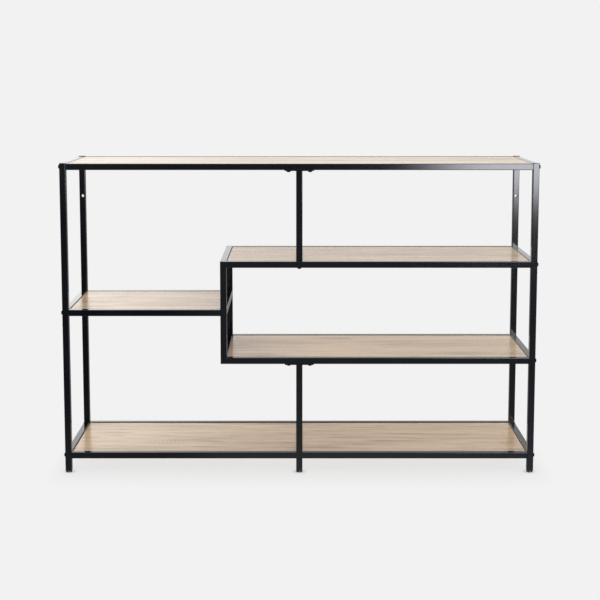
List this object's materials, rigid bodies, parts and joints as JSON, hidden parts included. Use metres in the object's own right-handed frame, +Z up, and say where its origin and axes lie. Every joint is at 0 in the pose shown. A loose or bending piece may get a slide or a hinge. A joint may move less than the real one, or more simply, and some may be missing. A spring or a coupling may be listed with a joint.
{
  "type": "open bookcase",
  "caption": "Low open bookcase of black square tube with stepped light wood-grain shelves, bolted corners, wall-fixing holes and screw-in levelling feet.",
  "frame": {"origin": "on the floor, under the middle of the frame", "axes": "+X to the right seen from the front, +Y to the back, +Z up"},
  "size_m": [1.2066, 0.3, 0.7952],
  "materials": {
    "black_tube": "satin powder coat",
    "black_bolt": "satin black",
    "oak_board": "smooth wood-grain laminate",
    "black_plastic": "matte",
    "zinc_steel": "zinc plated"
  },
  "bodies": {
    "frame": {"board_screws": "zinc_steel", "board_tabs": "black_tube", "bottom_board": "oak_board", "bottom_front_rail": "black_tube", "bottom_rear_rail": "black_tube", "centre_front_leg": "black_tube", "centre_rear_leg": "black_tube", "foot_inserts": "black_plastic", "frame_bolts": "black_bolt", "left_bottom_end_rail": "black_tube", "left_front_upright": "black_tube", "left_rear_upright": "black_tube", "left_shelf_board": "oak_board", "left_shelf_end_rail": "black_tube", "left_shelf_front_rail": "black_tube", "left_shelf_rear_rail": "black_tube", "left_top_end_rail": "black_tube", "lower_centre_front_post": "black_tube", "lower_centre_rear_post": "black_tube", "lower_head_plates": "black_tube", "lower_shelf_board": "oak_board", "lower_shelf_front_rail": "black_tube", "lower_shelf_rear_rail": "black_tube", "plate_bolts": "black_bolt", "right_bottom_end_rail": "black_tube", "right_front_upright": "black_tube", "right_lower_end_rail": "black_tube", "right_rear_upright": "black_tube", "right_top_end_rail": "black_tube", "right_upper_end_rail": "black_tube", "step_front_post": "black_tube", "step_lower_end_rail": "black_tube", "step_middle_end_rail": "black_tube", "step_rear_post": "black_tube", "step_upper_end_rail": "black_tube", "threaded_plugs": "zinc_steel", "top_board": "oak_board", "top_front_rail": "black_tube", "top_rear_rail": "black_tube", "tube_spigots": "black_tube", "upper_centre_front_post": "black_tube", "upper_centre_rear_post": "black_tube", "upper_head_plates": "black_tube", "upper_shelf_board": "oak_board", "upper_shelf_front_rail": "black_tube", "upper_shelf_rear_rail": "black_tube", "upright_caps": "black_plastic", "weld_nuts": "zinc_steel"},
    "left_front_foot": {"left_front_foot_pad": "black_plastic", "left_front_foot_stud": "zinc_steel"},
    "left_rear_foot": {"left_rear_foot_pad": "black_plastic", "left_rear_foot_stud": "zinc_steel"},
    "centre_front_foot": {"centre_front_foot_pad": "black_plastic", "centre_front_foot_stud": "zinc_steel"},
    "centre_rear_foot": {"centre_rear_foot_pad": "black_plastic", "centre_rear_foot_stud": "zinc_steel"},
    "right_front_foot": {"right_front_foot_pad": "black_plastic", "right_front_foot_stud": "zinc_steel"},
    "right_rear_foot": {"right_rear_foot_pad": "black_plastic", "right_rear_foot_stud": "zinc_steel"}
  },
  "joints": [
    {"name": "left_front_foot_height", "type": "slide", "parent": "frame", "child": "left_front_foot", "axis": [0, 0, -1], "range_m": [0, 0.008]},
    {"name": "left_rear_foot_height", "type": "slide", "parent": "frame", "child": "left_rear_foot", "axis": [0, 0, -1], "range_m": [0, 0.008]},
    {"name": "centre_front_foot_height", "type": "slide", "parent": "frame", "child": "centre_front_foot", "axis": [0, 0, -1], "range_m": [0, 0.008]},
    {"name": "centre_rear_foot_height", "type": "slide", "parent": "frame", "child": "centre_rear_foot", "axis": [0, 0, -1], "range_m": [0, 0.008]},
    {"name": "right_front_foot_height", "type": "slide", "parent": "frame", "child": "right_front_foot", "axis": [0, 0, -1], "range_m": [0, 0.008]},
    {"name": "right_rear_foot_height", "type": "slide", "parent": "frame", "child": "right_rear_foot", "axis": [0, 0, -1], "range_m": [0, 0.008]}
  ]
}
